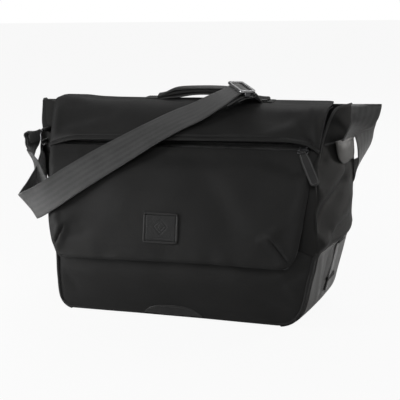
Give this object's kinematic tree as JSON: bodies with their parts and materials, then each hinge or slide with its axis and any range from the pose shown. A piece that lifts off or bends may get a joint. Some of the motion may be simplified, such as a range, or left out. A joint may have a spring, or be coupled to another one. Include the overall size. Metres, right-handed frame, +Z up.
{
  "type": "messenger bag",
  "caption": "Soft flap messenger bag with zipped flap pocket, top handle, leather trims and a webbing shoulder strap with slider and ring.",
  "frame": {"origin": "centre of the underside, on the surface the bag stands on", "axes": "+X to the right of a person facing the front, the front faces -Y, +Z up"},
  "size_m": [0.4992, 0.1983, 0.3058],
  "materials": {
    "nylon": "smooth dense weave, slight sheen",
    "binding": "ribbed tape",
    "lining": "plain weave",
    "webbing": "flat belt weave with a soft sheen",
    "leather": "smooth semi-gloss",
    "zip_tape": "woven tape",
    "zip_teeth": "satin",
    "dark_metal": "dark plated",
    "stiffener": "matte",
    "magnet": "plated"
  },
  "bodies": {
    "body": {"front_panel": "nylon", "back_panel": "nylon", "base_panel": "nylon", "left_gusset": "nylon", "right_gusset": "nylon", "front_piping": "binding", "rear_piping": "binding", "front_base_patch": "leather", "left_gusset_leather": "leather", "right_gusset_leather": "leather", "left_side_strip": "webbing", "right_side_strip": "webbing", "left_gusset_binding": "binding", "right_gusset_binding": "binding", "mouth_binding": "binding", "right_anchor_tab": "leather", "left_anchor_tab": "leather", "base_board": "stiffener", "laptop_divider": "lining", "inner_pocket": "lining", "body_magnets": "magnet", "strap_right_rise": "webbing", "strap_rear": "webbing", "strap_left_near": "webbing", "strap_left_far": "webbing"},
    "flap": {"flap_front_panel": "nylon", "flap_placket": "nylon", "flap_lining": "lining", "leather_patch": "leather", "flap_magnets": "magnet", "zip_tapes": "zip_tape", "zip_teeth": "zip_teeth", "zip_stops": "zip_teeth", "handle_tabs": "leather", "strap_over_top": "webbing", "strap_front_outer": "webbing", "strap_front_inner": "webbing"},
    "handle": {"handle_lower_leather": "leather", "handle_core": "stiffener", "handle_upper_leather": "leather"},
    "zip_slider": {"zip_slider_body": "dark_metal"},
    "zip_link": {"zip_pull_ring": "dark_metal"},
    "zip_pull": {"zip_pull_tab": "leather"},
    "strap_adjuster": {"adjuster_frame": "dark_metal", "adjuster_bar": "dark_metal", "strap_loop_end": "webbing"},
    "strap_ring": {"left_ring": "dark_metal", "strap_ring_loop": "webbing"}
  },
  "joints": [
    {"name": "flap_hinge", "type": "hinge", "parent": "body", "child": "flap", "pos_m": [0, 0.064, 0.267], "axis": [-1, 0, 0], "range_deg": [0, 90]},
    {"name": "handle_swing", "type": "hinge", "parent": "flap", "child": "handle", "pos_m": [0.017, 0.056, 0.275], "axis": [1, 0, 0], "range_deg": [-10, 10]},
    {"name": "zip_slide", "type": "slide", "parent": "flap", "child": "zip_slider", "axis": [1, 0, 0], "range_m": [-0.18, 0]},
    {"name": "zip_ring_lift", "type": "hinge", "parent": "zip_slider", "child": "zip_link", "pos_m": [0.166, -0.03013, 0.21941], "axis": [-1, 0, 0], "range_deg": [0, 80]},
    {"name": "zip_tab_lift", "type": "hinge", "parent": "zip_link", "child": "zip_pull", "pos_m": [0.166, -0.03542, 0.21368], "axis": [-1, 0, 0], "range_deg": [0, 60]},
    {"name": "adjuster_slide", "type": "slide", "parent": "flap", "child": "strap_adjuster", "axis": [0.852, 0.348, 0.391], "range_m": [-0.04, 0]},
    {"name": "ring_swing", "type": "hinge", "parent": "body", "child": "strap_ring", "pos_m": [-0.209, 0.02, 0.231], "axis": [0, 1, 0], "range_deg": [0, 45]}
  ]
}
